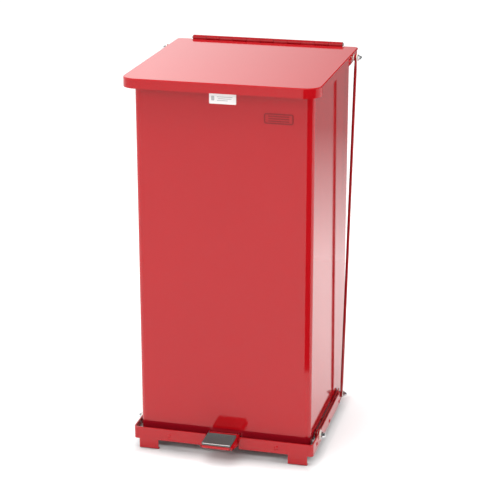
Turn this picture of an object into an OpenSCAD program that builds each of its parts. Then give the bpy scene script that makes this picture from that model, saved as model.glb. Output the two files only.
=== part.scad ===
/* [Body] */
// Outside width of the square body
body_w = 347; // [330:1:360]
// Outside depth of the square body
body_d = 345; // [330:1:360]
// Radius of the body's upright corners
body_r = 13; // [8:0.5:14]
// Sheet thickness of body and lid
sheet_t = 1.2; // [1:0.1:1.6]
// Height of the inner floor above the ground
pan_z = 66; // [62:1:80]

/* [Lid] */
// Height of the lid's flat top above the ground
lid_top_z = 762; // [740:1:780]
// Outside width of the lid
lid_w = 379.5; // [378:0.5:381]
// How far the lid stands out over the body's front
lid_front_over = 36; // [30:1:40]
// Depth of the lid's turned-down skirt
skirt_h = 19; // [17:1:22]
// Radius of the lid's two front corners
lid_front_r = 30; // [24:1:34]

/* [Base frame] */
// Outside width of the base rail
rail_w = 367; // [366:1:369]
// Upper edge of the base rail
rail_top_z = 46; // [44:1:47]
// Lower edge of the base rail
rail_low_z = 21; // [19:1:22]
// Thickness of the base rail
rail_t = 2.5; // [2:0.5:3]
// Where the side rails end, behind the body's middle
rail_end_y = 80; // [74:1:80]

/* [Pedal] */
// Width of the steel pedal plate
pedal_w = 64; // [60:1:72]
// How far the pedal stands out from the body's front
pedal_reach = 66; // [60:1:72]
// Width of the rubber pad
pad_w = 58; // [50:1:60]
// Depth of the rubber pad, front to back
pad_d = 48; // [42:1:50]

/* [Liner] */
// Outside width of the lift-out liner
liner_w = 320; // [310:1:321]
// Top edge of the liner's rim
liner_top_z = 744; // [700:1:744]

/* [Hidden] */
$fn = 48;

paint_red = [0.62, 0.05, 0.08];
steel_grey = [0.72, 0.73, 0.75];
zinc_grey = [0.60, 0.63, 0.64];
chrome_grey = [0.86, 0.87, 0.88];
rubber_grey = [0.36, 0.37, 0.38];
rubber_black = [0.08, 0.08, 0.08];
nylon_white = [0.90, 0.90, 0.86];
label_white = [0.95, 0.95, 0.95];

eps = 0.01;
half_w = body_w / 2;
half_d = body_d / 2;
body_low_z = 20;
leg_w = 40;
body_top_z = 756;
hem_w = 8;
hem_t = 3;
hem_inner_r = 6;
fit = 0.05;
notch_gap = 1.2;

// hinge line, seen from the side
hinge_y = half_d + 5;
hinge_z = lid_top_z + 2.2;
hinge_r = 5.2;
hinge_pin_r = 2.5;
hinge_span = 314;
knuckles = 11;
knuckle_gap = 0.6;
knuckle_pitch = hinge_span / knuckles;
leaf_t = 1.8;
leaf_clear = 8;

leaf_low_z = 716;
leaf_rivet_z = 730;
leaf_rivet_x = [-120, -40, 40, 120];

// rivets between rail and body, and the tubes that hold the rail off the body
rivet_r = 2.5;
rivet_head_r = 4.5;
rivet_head_h = 1.8;
spacer_r = 3.6;
spacer_sides = [[-half_d + 22, 32], [-half_d + 144.5, 27], [rail_end_y - 8, 27]];
spacer_front_x = 110;
spacer_front_z = 33;

// pedal lever, seen from the side
axle_y = -half_d + 49.5;
axle_z = 39;
axle_r = 5;
arm_end_y = half_d - 75.5;
arm_end_z = 34;
arm_t = 3;
arm_x = half_w + 2;
arm_h = 12;
hub_r = 11;
plate_t = 2;
flange_t = 2.5;
plate_top_z = 46;
plate_front_y = -half_d - pedal_reach;
pad_t = 4.5;

// push rods
rod_top_x = 194;
rod_top_y = half_d - 49.5;
rod_top_z = lid_top_z - 11;
rod_low_x = 183.5;
rod_r = 3;
eye_r = 7;
eye_t = 5;
neck_r = 2.2;
neck_len = 12;
neck_taper = 6;
bolt_r = 3;
slot_back = 0.4;
slot_front = 8.4;
slot_rise = 1.65;
slot_half_h = 4.8;

lid_y0 = -half_d - lid_front_over;
lid_y1 = half_d + 2.9;
lid_half = lid_w / 2;
lid_low_z = lid_top_z - skirt_h;
lid_rear_r = 8;
side_inset = 1.5;
skirt_step_y = -half_d - 5.5;
skirt_in_x = lid_half - side_inset - sheet_t;
skirt_slit = 8;
bracket_t = 2;
bracket_len = 39;
bracket_eye_r = 11;

rail_half = rail_w / 2;
rail_y0 = -half_d - 17;
rail_r = 7;
notch_half = pedal_w / 2 + notch_gap;
foot_x0 = 133;
foot_x1 = 172;

// the whole object's box is centred on the origin, front to back
body_cy = (half_d + pedal_reach - hinge_y - hinge_r) / 2;

module placed() translate([0, body_cy, 0]) children();
module both_sides() {
    children();
    mirror([1, 0, 0]) children();
}

// rectangle with round corners, as exact arcs
module round_rect(w, d, r) {
    square([w - 2 * r, d], center = true);
    square([w, d - 2 * r], center = true);
    for (sx = [-1, 1], sy = [-1, 1])
        translate([sx * (w / 2 - r), sy * (d / 2 - r)]) circle(r);
}

// lid outline: large round corners in front, small ones behind
module lid_outline(inset) {
    rf = lid_front_r - inset;
    rr = lid_rear_r - inset;
    x1 = lid_half - inset;
    y0 = lid_y0 + inset;
    y1 = lid_y1 - inset;
    translate([-x1, y0 + rf]) square([2 * x1, y1 - rr - y0 - rf]);
    translate([-x1 + rf, y0]) square([2 * (x1 - rf), rf + eps]);
    translate([-x1 + rr, y1 - rr - eps]) square([2 * (x1 - rr), rr + eps]);
    for (s = [-1, 1]) {
        translate([s * (x1 - rf), y0 + rf]) circle(rf);
        translate([s * (x1 - rr), y1 - rr]) circle(rr);
    }
}

// solid cylinder lying along X, from x0 to x1
module x_rod(x0, x1, y, z, r) {
    translate([x0, y, z]) rotate([0, 90, 0]) cylinder(h = x1 - x0, r = r);
}

// ring lying along X
module x_ring(x0, x1, y, z, r, bore) {
    difference() {
        x_rod(x0, x1, y, z, r);
        x_rod(x0 - 1, x1 + 1, y, z, bore);
    }
}

// block given by two opposite corners
module block(a, b) {
    translate(a) cube(b - a);
}

// dome-headed rivet standing on a face at the origin, pointing up
module dome_rivet(head_r, head_h, shank_r, shank_h) {
    ball_r = (head_r * head_r + head_h * head_h) / (2 * head_h);
    rotate_extrude() intersection() {
        translate([0, head_h - ball_r]) circle(ball_r);
        square([head_r, head_h]);
    }
    translate([0, 0, -shank_h]) cylinder(h = shank_h + eps, r = shank_r);
}

// domed cap nut with a flange, axis +X, starting at the origin
module cap_nut(flange_r, nut_r, nut_h) {
    flange_t = 1.2;
    dome_r = nut_r * 0.92;
    rotate([0, 90, 0]) {
        cylinder(h = flange_t, r = flange_r);
        cylinder(h = nut_h - dome_r, r = nut_r);
        intersection() {
            translate([0, 0, nut_h - dome_r]) sphere(dome_r);
            cylinder(h = nut_h, r = nut_r);
        }
    }
}

// square tube with an inward hem at the top, two legs at the rear corners and two slots in
// front that the pedal's flanges pass through
module body_shell() placed() color(paint_red) {
    hole_r = axle_r + 2;
    slot_w = flange_t + 2 * notch_gap;
    difference() {
        union() {
            translate([0, 0, body_low_z]) linear_extrude(body_top_z - body_low_z)
                round_rect(body_w, body_d, body_r);
            linear_extrude(body_low_z + eps) intersection() {
                round_rect(body_w, body_d, body_r);
                for (s = [-1, 1])
                    translate([s * (half_w - leg_w / 2), half_d - leg_w / 2]) square(leg_w, center = true);
            }
        }
        translate([0, 0, -1]) linear_extrude(body_top_z - hem_t + 1)
            round_rect(body_w - 2 * sheet_t, body_d - 2 * sheet_t, body_r - sheet_t);
        translate([0, 0, body_top_z - hem_t - 1]) linear_extrude(hem_t + 2)
            round_rect(body_w - 2 * hem_w, body_d - 2 * hem_w, hem_inner_r);
        x_rod(-half_w - 1, half_w + 1, axle_y, axle_z, hole_r);
        both_sides() block([notch_half - slot_w, -half_d - 1, body_low_z - 1],
            [notch_half, -half_d + 4, plate_top_z + 0.8]);
        for (p = spacer_sides) x_rod(-half_w - 1, half_w + 1, p[0], p[1], rivet_r + fit);
        for (s = [-1, 1])
            translate([s * spacer_front_x, -half_d - 1, spacer_front_z])
                rotate([-90, 0, 0]) cylinder(h = 6, r = rivet_r + fit);
    }
}

// inner floor that the liner stands on, with a turned-down edge
pan_lip = 14;
pan_t = 1.5;
module floor_pan() placed() color(paint_red) {
    w = body_w - 2 * (sheet_t + fit);
    d = body_d - 2 * (sheet_t + fit);
    r = body_r - sheet_t - fit;
    difference() {
        translate([0, 0, pan_z - pan_lip]) linear_extrude(pan_lip) round_rect(w, d, r);
        translate([0, 0, pan_z - pan_lip - 1]) linear_extrude(pan_lip + 1 - pan_t)
            round_rect(w - 2 * pan_t, d - 2 * pan_t, r - pan_t);
    }
}

// lift-out bucket with a rim and a hand hole in each side wall
liner_r = 14;
liner_t = 1.2;
rim_out = 2.5;
rim_h = 6;
grip_half = 46;
grip_low_z = 690;
grip_r = 13;
module liner() placed() color(zinc_grey) {
    d = liner_w - (body_w - body_d);
    z0 = pan_z + fit;
    difference() {
        union() {
            translate([0, 0, z0]) linear_extrude(liner_top_z - z0) round_rect(liner_w, d, liner_r);
            translate([0, 0, liner_top_z - rim_h]) linear_extrude(rim_h)
                round_rect(liner_w + 2 * rim_out, d + 2 * rim_out, liner_r + rim_out);
        }
        translate([0, 0, z0 + liner_t]) linear_extrude(liner_top_z)
            round_rect(liner_w - 2 * liner_t, d - 2 * liner_t, liner_r - liner_t);
        for (s = [-1, 1])
            x_rod(-liner_w, liner_w, s * (grip_half - grip_r), grip_low_z + grip_r, grip_r);
        block([-liner_w, -grip_half + grip_r, grip_low_z],
            [liner_w, grip_half - grip_r, grip_low_z + 2 * grip_r]);
    }
}

// upright U-shaped rail round the front and the sides, with two front feet and axle ears
ear_r = 12;
bush_r = 7.5;
module rail_band(z0, z1) {
    translate([0, 0, z0]) linear_extrude(z1 - z0) difference() {
        rail_plan(0);
        rail_plan(rail_t);
        translate([-rail_w, rail_end_y]) square([2 * rail_w, body_d]);
    }
}
module rail_plan(inset) {
    r = rail_r - inset;
    y0 = rail_y0 + inset;
    translate([-rail_half + inset, y0 + r]) square([rail_w - 2 * inset, body_d]);
    translate([-rail_half + rail_r, y0]) square([rail_w - 2 * rail_r, r + eps]);
    for (s = [-1, 1]) translate([s * (rail_half - rail_r), y0 + r]) circle(r);
}
module base_frame() placed() color(paint_red) {
    difference() {
        union() {
            rail_band(rail_low_z, rail_top_z);
            both_sides() {
                block([foot_x0, rail_y0, 0], [foot_x1, rail_y0 + rail_t, rail_low_z + eps]);
                block([foot_x0, rail_y0 + rail_t - eps, 0], [foot_x1, rail_y0 + 9, rail_t]);
                x_rod(rail_half - rail_t, rail_half, axle_y, axle_z, ear_r);
            }
        }
        block([-notch_half, rail_y0 - 1, 0], [notch_half, rail_y0 + rail_t + 1, rail_top_z + 1]);
        x_rod(-rail_half - 1, rail_half + 1, axle_y, axle_z, bush_r);
        for (p = spacer_sides) x_rod(-rail_half - 1, rail_half + 1, p[0], p[1], rivet_r + fit);
        for (s = [-1, 1])
            translate([s * spacer_front_x, rail_y0 - 1, spacer_front_z])
                rotate([-90, 0, 0]) cylinder(h = 6, r = rivet_r + fit);
    }
}

module frame_spacers() placed() color(steel_grey) {
    front_gap = -half_d - rail_y0 - rail_t;
    both_sides() {
        for (p = spacer_sides)
            x_ring(half_w + fit, rail_half - rail_t - fit, p[0], p[1], spacer_r, rivet_r + fit);
        translate([spacer_front_x, rail_y0 + rail_t + fit, spacer_front_z]) rotate([-90, 0, 0])
            difference() {
                cylinder(h = front_gap - 2 * fit, r = spacer_r + 1);
                translate([0, 0, -1]) cylinder(h = front_gap + 2, r = rivet_r + fit);
            }
    }
}

module frame_rivets() placed() color(paint_red) {
    shank = rail_half - half_w + sheet_t + 1;
    front_shank = -half_d - rail_y0 + sheet_t + 1;
    both_sides() {
        for (p = spacer_sides)
            translate([rail_half, p[0], p[1]]) rotate([0, 90, 0])
                dome_rivet(rivet_head_r, rivet_head_h, rivet_r, shank);
        translate([spacer_front_x, rail_y0, spacer_front_z]) rotate([90, 0, 0])
            dome_rivet(rivet_head_r, rivet_head_h, rivet_r, front_shank);
    }
}

label_w = 52;
label_h = 20;
label_t = 0.5;
label_r = 1.5;
label_z = 725;
module front_label() placed() color(label_white) {
    translate([0, -half_d, label_z]) rotate([90, 0, 0]) linear_extrude(label_t)
        round_rect(label_w, label_h, label_r);
}

// small raised plaque, a plain frame round three plain bars
badge_x = 107;
badge_z = 693;
module front_badge() placed() color(paint_red) {
    badge_w = 56;
    badge_h = 20;
    badge_r = 4;
    badge_t = 0.8;
    frame_t = 2.2;
    bar_inset = 8;
    bar_h = 1.6;
    bar_pitch = 4.6;
    translate([badge_x, -half_d, badge_z]) rotate([90, 0, 0]) linear_extrude(badge_t) {
        difference() {
            round_rect(badge_w, badge_h, badge_r);
            round_rect(badge_w - 2 * frame_t, badge_h - 2 * frame_t, badge_r - frame_t);
        }
        for (i = [-1, 0, 1])
            translate([0, i * bar_pitch]) square([badge_w - 2 * bar_inset, bar_h], center = true);
    }
}

// ends of knuckle number i, counted from the left
function knuckle_x0(i) = -hinge_span / 2 + i * knuckle_pitch + knuckle_gap / 2;
function knuckle_x1(i) = knuckle_x0(i) + knuckle_pitch - knuckle_gap;

// body leaf: a strip up the rear wall with the odd knuckles
module hinge_body_leaf() placed() color(paint_red) {
    leaf_top_z = hinge_z - hinge_r - knuckle_gap;
    difference() {
        union() {
            block([-hinge_span / 2, half_d, leaf_low_z],
                [hinge_span / 2, half_d + leaf_t, leaf_top_z]);
            for (i = [0:2:knuckles - 1]) {
                block([knuckle_x0(i), half_d, leaf_top_z - eps],
                    [knuckle_x1(i), half_d + leaf_t, hinge_z]);
                x_rod(knuckle_x0(i), knuckle_x1(i), hinge_y, hinge_z, hinge_r);
            }
        }
        x_rod(-hinge_span, hinge_span, hinge_y, hinge_z, hinge_pin_r + fit);
        for (x = leaf_rivet_x)
            translate([x, half_d - 1, leaf_rivet_z]) rotate([-90, 0, 0])
                cylinder(h = 6, r = rivet_r + fit);
    }
}

// pin through all knuckles, with a flat head at each end
module hinge_pin() placed() color(steel_grey) {
    half = hinge_span / 2;
    head_x = half + 0.4;
    head_t = 1.6;
    x_rod(-half - 0.5, half + 0.5, hinge_y, hinge_z, hinge_pin_r);
    both_sides() x_rod(head_x, head_x + head_t, hinge_y, hinge_z, hinge_r - 1);
}

module hinge_body_rivets() placed() color(paint_red) {
    for (x = leaf_rivet_x)
        translate([x, half_d + leaf_t, leaf_rivet_z]) rotate([-90, 0, 0])
            dome_rivet(rivet_head_r, rivet_head_h, rivet_r, leaf_t);
}

// plain bearings for the axle, pressed into the rail's ears
module axle_bushes() placed() color(nylon_white) both_sides() difference() {
    flange_r = bush_r + 2;
    inner_x = rail_half - rail_t - 1.7;
    outer_x = rail_half + 1.3;
    union() {
        x_rod(inner_x + 0.5, outer_x - 0.3, axle_y, axle_z, bush_r - fit);
        x_rod(inner_x, rail_half - rail_t - fit, axle_y, axle_z, flange_r);
        x_rod(rail_half + fit, outer_x, axle_y, axle_z, flange_r);
    }
    x_rod(0, rail_w, axle_y, axle_z, axle_r + fit);
}

// skirt seen from above: wrapped round the front corners, and after a slit stepped in along
// the sides
module skirt_plan() {
    side_len = lid_y1 - lid_rear_r - skirt_step_y;
    intersection() {
        difference() {
            lid_outline(0);
            lid_outline(sheet_t);
        }
        translate([-lid_w, lid_y0 - 1]) square([2 * lid_w, skirt_step_y - lid_y0 + 1]);
    }
    both_sides() {
        translate([skirt_in_x, skirt_step_y + skirt_slit]) square([sheet_t, side_len - skirt_slit]);
        translate([skirt_in_x, skirt_step_y - sheet_t]) square([side_inset + sheet_t, sheet_t]);
    }
}
module lid_panel() placed() color(paint_red) {
    gap_half = hinge_span / 2 + 3;
    difference() {
        union() {
            translate([0, 0, lid_top_z - sheet_t]) linear_extrude(sheet_t) lid_outline(0);
            translate([0, 0, lid_low_z]) linear_extrude(skirt_h - sheet_t + eps) skirt_plan();
        }
        block([-gap_half, hinge_y - leaf_clear, lid_low_z], [gap_half, hinge_y + 10, lid_top_z + 1]);
        both_sides() x_rod(skirt_in_x - 1, lid_half, rod_top_y, rod_top_z, bolt_r + fit);
    }
}

// folded channel that stiffens the lid behind its front edge
module lid_front_stiffener() placed() color(paint_red) {
    x = 130;
    y0 = -half_d + 60;
    y1 = y0 + 30;
    z1 = lid_top_z - sheet_t - fit;
    z0 = z1 - 10;
    difference() {
        block([-x, y0, z0], [x, y1, z1]);
        block([-x - 1, y0 + sheet_t, z0 + sheet_t], [x + 1, y1 - sheet_t, z1 + 1]);
    }
}

// lid leaf: a strip under the lid's top with the even knuckles
lid_leaf_w = 36;
module hinge_lid_leaf() placed() color(paint_red) {
    z0 = hinge_z - hinge_r;
    z1 = lid_top_z - sheet_t;
    edge_y = hinge_y - leaf_clear;
    difference() {
        union() {
            block([-hinge_span / 2, hinge_y - lid_leaf_w, z0], [hinge_span / 2, edge_y, z1]);
            for (i = [1:2:knuckles - 2]) {
                block([knuckle_x0(i), edge_y - eps, z0], [knuckle_x1(i), hinge_y, z1]);
                x_rod(knuckle_x0(i), knuckle_x1(i), hinge_y, hinge_z, hinge_r);
            }
        }
        x_rod(-hinge_span, hinge_span, hinge_y, hinge_z, hinge_pin_r + fit);
    }
}

// rivet heads under the lid that hold the leaf
module hinge_lid_rivets() placed() color(paint_red) {
    y = hinge_y - lid_leaf_w + 10;
    for (x = leaf_rivet_x)
        translate([x, y, hinge_z - hinge_r]) rotate([180, 0, 0])
            dome_rivet(rivet_head_r, rivet_head_h, rivet_r, 0);
}

// rubber buttons under the lid, over the body's hem
module lid_bumpers() placed() color(rubber_black) {
    button_r = 3.6;
    gap = 0.3;
    for (sx = [-1, 1], y = [-half_d + 40, half_d - 60])
        translate([sx * (half_w - hem_w / 2 - 0.4), y, body_top_z + gap])
            cylinder(h = lid_top_z - sheet_t - body_top_z - gap, r = button_r);
}

// plate inside the side skirt with an eye for the rod's upper bolt
module rod_bracket() difference() {
    x0 = skirt_in_x - bracket_t;
    x1 = skirt_in_x;
    y0 = rod_top_y - bracket_len;
    y1 = rod_top_y + bracket_eye_r;
    z0 = rod_top_z - bracket_eye_r;
    z1 = lid_top_z - sheet_t - 1;
    union() {
        block([x0, y0, z0], [x1, rod_top_y, z1]);
        block([x0, rod_top_y - 1, rod_top_z], [x1, y1, z1]);
        intersection() {
            x_rod(x0, x1, rod_top_y, rod_top_z, bracket_eye_r);
            block([x0, rod_top_y - 1, z0], [x1, y1, rod_top_z + 1]);
        }
    }
    x_rod(x0 - 1, x1 + 1, rod_top_y, rod_top_z, bolt_r + fit);
}
module rod_bracket_right() placed() color(paint_red) rod_bracket();
module rod_bracket_left() placed() color(paint_red) mirror([1, 0, 0]) rod_bracket();

module bracket_rivets() placed() color(paint_red) both_sides() {
    for (y = [rod_top_y - 32, rod_top_y - 16])
        translate([lid_half - side_inset, y, rod_top_z]) rotate([0, 90, 0])
            dome_rivet(3, 1.2, 1.6, 0);
}

// from the middle outwards: bolt head, bracket, skirt, spacer, rod eye, washer, cap nut
upper_out_x = rod_top_x + eye_t / 2;
upper_washer_t = 1.5;
thread_len = 6;
module upper_bolt() {
    head_x = skirt_in_x - bracket_t;
    head_t = 3;
    x_rod(head_x - head_t, head_x, rod_top_y, rod_top_z, 5.5);
    x_rod(head_x - eps, upper_out_x + thread_len, rod_top_y, rod_top_z, bolt_r);
}
module upper_bolt_right() placed() color(steel_grey) upper_bolt();
module upper_bolt_left() placed() color(steel_grey) mirror([1, 0, 0]) upper_bolt();

module upper_spacers() placed() color(nylon_white) both_sides()
    x_ring(lid_half - side_inset + fit, rod_top_x - eye_t / 2 - 0.1,
        rod_top_y, rod_top_z, 6, bolt_r + fit);

module upper_washers() placed() color(nylon_white) both_sides()
    x_ring(upper_out_x + 0.1, upper_out_x + 0.1 + upper_washer_t,
        rod_top_y, rod_top_z, 8, bolt_r + fit);

module upper_cap_nuts() placed() color(chrome_grey) both_sides() difference() {
    translate([upper_out_x + upper_washer_t + 0.2, rod_top_y, rod_top_z]) cap_nut(6.8, 5.2, 9);
    x_rod(rod_top_x, upper_out_x + thread_len + 0.2, rod_top_y, rod_top_z, bolt_r + fit);
}

module pivot_axle() placed() color(steel_grey)
    x_rod(-rail_half - 7, rail_half + 7, axle_y, axle_z, axle_r);

module lever_arm() difference() {
    x1 = arm_x + arm_t;
    slot_z = arm_end_z + slot_rise;
    union() {
        x_rod(arm_x, x1, axle_y, axle_z, hub_r);
        x_rod(arm_x, x1, arm_end_y, arm_end_z, hub_r);
        x_rod(arm_x, x1, arm_end_y - slot_front + 2, arm_end_z, hub_r);
        block([arm_x, axle_y, rail_top_z - 1 - arm_h], [x1, arm_end_y, rail_top_z - 1]);
        block([arm_x, arm_end_y - slot_front + 2, arm_end_z - hub_r], [x1, arm_end_y, arm_end_z + hub_r]);
    }
    x_rod(arm_x - 1, x1 + 1, axle_y, axle_z, axle_r + fit);
    for (dy = [-slot_front, slot_back])
        x_rod(arm_x - 1, x1 + 1, arm_end_y + dy, slot_z, slot_half_h);
    block([arm_x - 1, arm_end_y - slot_front, slot_z - slot_half_h],
        [x1 + 1, arm_end_y + slot_back, slot_z + slot_half_h]);
}
module lever_arm_right() placed() color(paint_red) lever_arm();
module lever_arm_left() placed() color(paint_red) mirror([1, 0, 0]) lever_arm();

// pressed channel: a tread plate with two side flanges that run back to the axle
module pedal_plate() placed() color(paint_red) {
    x1 = pedal_w / 2;
    lip_h = 6;
    hub_drop = 9;
    difference() {
        union() {
            block([-x1, plate_front_y, plate_top_z - plate_t], [x1, -half_d - 3, plate_top_z]);
            block([-x1, plate_front_y, plate_top_z - lip_h], [x1, plate_front_y + plate_t, plate_top_z]);
            both_sides() {
                translate([x1, 0, 0]) rotate([90, 0, -90]) linear_extrude(flange_t)
                    polygon([[-plate_front_y, plate_top_z], [-axle_y, plate_top_z],
                        [-axle_y, axle_z - hub_drop], [half_d + 14, plate_top_z - 19],
                        [-plate_front_y, plate_top_z - lip_h]]);
                x_rod(x1 - flange_t, x1, axle_y, axle_z, hub_r - 1);
            }
        }
        x_rod(-x1 - 1, x1 + 1, axle_y, axle_z, axle_r + fit);
    }
}

module pedal_pad() placed() color(rubber_grey)
    translate([0, plate_front_y + 0.5 + pad_d / 2, plate_top_z + fit]) linear_extrude(pad_t)
        round_rect(pad_w, pad_d, 2);

// rivets under the plate that hold the pad
module pad_rivets() placed() color(steel_grey) {
    for (sx = [-1, 1], dy = [10, 32])
        translate([sx * 22, plate_front_y + dy, plate_top_z - plate_t - fit]) rotate([180, 0, 0])
            dome_rivet(3.5, 1.5, 2, 0);
}

module axle_washers() placed() color(nylon_white) both_sides()
    x_ring(rail_half + 1.5, rail_half + 3, axle_y, axle_z, 9, axle_r + fit);

module axle_cap_nuts() placed() color(chrome_grey) both_sides() difference() {
    translate([rail_half + 3.1, axle_y, axle_z]) cap_nut(8, 6.8, 9);
    x_rod(0, rail_half + 7.1, axle_y, axle_z, axle_r + fit);
}

// straight rod, necked down next to the flat eye at each end
module push_rod() {
    d = [rod_top_x - rod_low_x, rod_top_y - arm_end_y, rod_top_z - arm_end_z];
    len = norm(d);
    tilt = acos(d[2] / len);
    turn = atan2(d[1], d[0]);
    difference() {
        union() {
            translate([rod_low_x, arm_end_y, arm_end_z]) rotate([0, tilt, turn]) {
                bar_z = neck_len + neck_taper;
                translate([0, 0, 2]) cylinder(h = len - 4, r = neck_r);
                translate([0, 0, bar_z]) cylinder(h = len - 2 * bar_z, r = rod_r);
                translate([0, 0, neck_len]) cylinder(h = neck_taper, r1 = neck_r, r2 = rod_r);
                translate([0, 0, len - bar_z]) cylinder(h = neck_taper, r1 = rod_r, r2 = neck_r);
            }
            x_rod(rod_top_x - eye_t / 2, rod_top_x + eye_t / 2, rod_top_y, rod_top_z, eye_r);
            x_rod(rod_low_x - eye_t / 2, rod_low_x + eye_t / 2, arm_end_y, arm_end_z, eye_r);
        }
        x_rod(rod_top_x - eye_t, rod_top_x + eye_t, rod_top_y, rod_top_z, bolt_r + fit);
        x_rod(rod_low_x - eye_t, rod_low_x + eye_t, arm_end_y, arm_end_z, bolt_r + fit);
    }
}
module push_rod_right() placed() color(paint_red) push_rod();
module push_rod_left() placed() color(paint_red) mirror([1, 0, 0]) push_rod();

// the bolt's flat head runs between body and arm, its shank through the arm's slot
lower_out_x = rod_low_x + eye_t / 2;
lower_washer_t = 1.2;
lower_thread_len = 5;
module lower_bolt() {
    x_rod(half_w + 0.5, arm_x - 0.3, arm_end_y, arm_end_z, 5.6);
    x_rod(arm_x - 0.4, lower_out_x + lower_thread_len, arm_end_y, arm_end_z, bolt_r);
}
module lower_bolt_right() placed() color(steel_grey) lower_bolt();
module lower_bolt_left() placed() color(steel_grey) mirror([1, 0, 0]) lower_bolt();

module lower_washer()
    x_ring(lower_out_x + 0.1, lower_out_x + 0.1 + lower_washer_t,
        arm_end_y, arm_end_z, 7.5, bolt_r + fit);
module lower_washer_right() placed() color(nylon_white) lower_washer();
module lower_washer_left() placed() color(nylon_white) mirror([1, 0, 0]) lower_washer();

module lower_cap_nut() difference() {
    translate([lower_out_x + lower_washer_t + 0.2, arm_end_y, arm_end_z]) cap_nut(6.5, 5, 8);
    x_rod(rod_low_x, lower_out_x + lower_thread_len + 0.2, arm_end_y, arm_end_z, bolt_r + fit);
}
module lower_cap_nut_right() placed() color(chrome_grey) lower_cap_nut();
module lower_cap_nut_left() placed() color(chrome_grey) mirror([1, 0, 0]) lower_cap_nut();

body_shell();
floor_pan();
liner();
base_frame();
frame_spacers();
frame_rivets();
front_label();
front_badge();
hinge_body_leaf();
hinge_pin();
hinge_body_rivets();
axle_bushes();
lid_panel();
lid_front_stiffener();
hinge_lid_leaf();
hinge_lid_rivets();
lid_bumpers();
rod_bracket_left();
rod_bracket_right();
bracket_rivets();
upper_bolt_left();
upper_bolt_right();
upper_spacers();
upper_washers();
upper_cap_nuts();
pivot_axle();
lever_arm_left();
lever_arm_right();
pedal_plate();
pedal_pad();
pad_rivets();
axle_washers();
axle_cap_nuts();
push_rod_left();
push_rod_right();
lower_bolt_left();
lower_bolt_right();
lower_washer_left();
lower_washer_right();
lower_cap_nut_left();
lower_cap_nut_right();
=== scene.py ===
import math

import bmesh
import bpy
from mathutils import Matrix, Vector


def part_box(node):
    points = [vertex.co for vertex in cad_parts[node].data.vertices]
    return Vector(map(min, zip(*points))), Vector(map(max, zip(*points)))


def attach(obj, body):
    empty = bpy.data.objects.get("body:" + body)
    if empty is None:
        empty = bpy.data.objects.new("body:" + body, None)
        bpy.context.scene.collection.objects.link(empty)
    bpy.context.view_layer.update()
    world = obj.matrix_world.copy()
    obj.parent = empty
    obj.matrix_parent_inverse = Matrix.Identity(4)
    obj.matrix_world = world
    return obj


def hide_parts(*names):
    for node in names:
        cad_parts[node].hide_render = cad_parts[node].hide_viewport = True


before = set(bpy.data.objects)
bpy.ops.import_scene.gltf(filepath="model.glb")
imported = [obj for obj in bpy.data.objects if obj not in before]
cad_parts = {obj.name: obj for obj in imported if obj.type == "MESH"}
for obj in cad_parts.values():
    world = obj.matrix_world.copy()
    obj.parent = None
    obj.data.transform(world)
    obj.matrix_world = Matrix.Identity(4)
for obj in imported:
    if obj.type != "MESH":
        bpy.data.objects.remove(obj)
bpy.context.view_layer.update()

mm = 0.001
tiny = 1e-7
axleBore = 5.05 * mm
boltBore = 3.05 * mm
flip = Matrix.Scale(-1, 4, (1, 0, 0))  # right to left


# places taken from the frame
def middle(node):
    low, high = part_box(node)
    return (low + high) / 2


bodyLow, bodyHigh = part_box("body_shell")
lidLow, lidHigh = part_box("lid_panel")
bodyY = (bodyLow.y + bodyHigh.y) / 2
halfWide = bodyHigh.x
halfDeep = (bodyHigh.y - bodyLow.y) / 2
frontY, rearY = bodyLow.y, bodyHigh.y
axle = middle("pivot_axle")
hingeLine = middle("hinge_pin")
rodTop = middle("upper_bolt_right")
rodFoot = middle("lower_bolt_right")
print("frame read, body", round(2 * halfWide / mm), "x", round(2 * halfDeep / mm), "mm")


# camera, set by angles round the point that it aims at
camera = {
    "azimuth": 14.27,
    "elevation": 18.8,
    "distance": 3.320,
    "aim": Vector((0.0066, bodyY + 0.0074, 0.3754)),
    "lens": 118.2,
    "shiftY": -0.0053,
}


def placed(name, data):
    made = bpy.data.objects.new(name, data)
    bpy.context.scene.collection.objects.link(made)
    return made


def makeCamera():
    data = bpy.data.cameras.new("studioCamera")
    data.lens = camera["lens"]
    data.shift_y = camera["shiftY"]
    eye = placed("studioCamera", data)
    a, e = math.radians(camera["azimuth"]), math.radians(camera["elevation"])
    back = Vector((math.sin(a) * math.cos(e), -math.cos(a) * math.cos(e), math.sin(e)))
    eye.location = camera["aim"] + back * camera["distance"]
    eye.rotation_euler = back.to_track_quat('Z', 'Y').to_euler()
    bpy.context.scene.camera = eye


# a node's output that can be used in plain arithmetic; every step adds a Math node
class Signal:
    def __init__(self, graph, socket):
        self.graph = graph
        self.socket = socket

    def calc(self, operation, *values):
        return self.graph.node("Math", {"operation": operation}, dict(enumerate(values)))

    def __add__(self, other):
        return self.calc('ADD', self, other)

    def __radd__(self, other):
        return self.calc('ADD', other, self)

    def __sub__(self, other):
        return self.calc('SUBTRACT', self, other)

    def __rsub__(self, other):
        return self.calc('SUBTRACT', other, self)

    def __mul__(self, other):
        return self.calc('MULTIPLY', self, other)

    def __rmul__(self, other):
        return self.calc('MULTIPLY', other, self)

    def clamp(self):
        return self.calc('MINIMUM', self.calc('MAXIMUM', self, 0.0), 1.0)


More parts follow.
